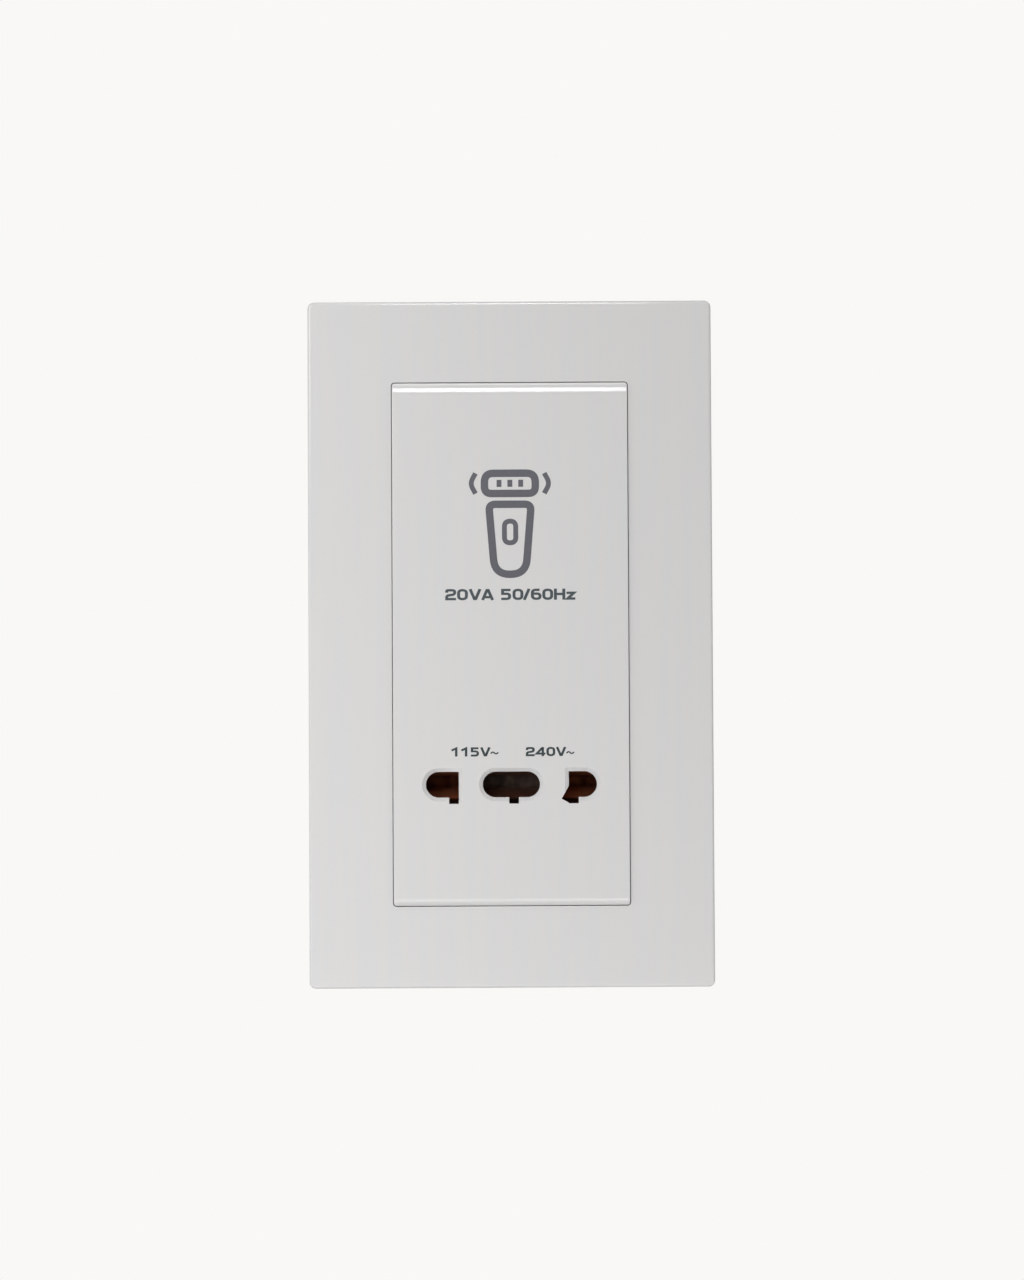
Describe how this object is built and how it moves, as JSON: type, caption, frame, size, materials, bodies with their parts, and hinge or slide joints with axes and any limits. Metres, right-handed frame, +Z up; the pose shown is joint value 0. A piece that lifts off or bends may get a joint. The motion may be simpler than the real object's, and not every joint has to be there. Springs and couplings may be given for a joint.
{
  "type": "shaver socket",
  "caption": "Wall-mounted shaver supply socket: clip-on frame, raised panel with multi-standard pin apertures, isolating transformer and screw terminals behind.",
  "frame": {"origin": "centre of the plate on the wall surface, midway between the two fixing holes", "axes": "+X right and +Z up as seen from the room, +Y into the wall, front face towards -Y"},
  "size_m": [0.086, 0.0503, 0.146],
  "materials": {
    "white_moulding": "glossy white moulded urea",
    "black_moulding": "lightly textured black moulded plastic",
    "grey_moulding": "light grey moulded polyamide",
    "brown_phenolic": "dark brown moulded phenolic",
    "bronze_strip": "rolled phosphor bronze strip",
    "terminal_brass": "machined brass",
    "plated_steel": "zinc-plated steel",
    "lamination_steel": "varnished silicon steel laminations",
    "nylon_former": "natural moulded nylon",
    "enamelled_copper": "enamelled copper wire, layer wound",
    "polyester_tape": "yellow polyester tape",
    "brown_insulation": "brown PVC insulation",
    "blue_insulation": "blue PVC insulation",
    "yellow_insulation": "yellow PVC insulation",
    "black_insulation": "black PVC insulation",
    "red_insulation": "red PVC insulation",
    "grey_print": "pad-printed grey ink"
  },
  "bodies": {
    "root": {"clip_on_frame": "white_moulding", "front_plate": "white_moulding", "rear_housing": "black_moulding", "contact_carrier": "brown_phenolic", "contact_115v": "bronze_strip", "contact_common": "bronze_strip", "contact_240v": "bronze_strip", "core_e_stack": "lamination_steel", "core_i_stack": "lamination_steel", "coil_former": "nylon_former", "secondary_winding": "enamelled_copper", "secondary_tape": "polyester_tape", "primary_winding": "enamelled_copper", "primary_tape": "polyester_tape", "thermal_cutout": "black_moulding", "terminal_block": "grey_moulding", "terminal_live": "terminal_brass", "terminal_earth": "terminal_brass", "terminal_neutral": "terminal_brass", "housing_screws": "plated_steel", "carrier_screws": "plated_steel", "core_screws": "plated_steel", "terminal_block_screws": "plated_steel", "clamp_screws": "plated_steel", "lead_live": "brown_insulation", "lead_cutout": "brown_insulation", "lead_neutral": "blue_insulation", "lead_115v": "yellow_insulation", "lead_common": "black_insulation", "lead_240v": "red_insulation"}
  },
  "joints": []
}
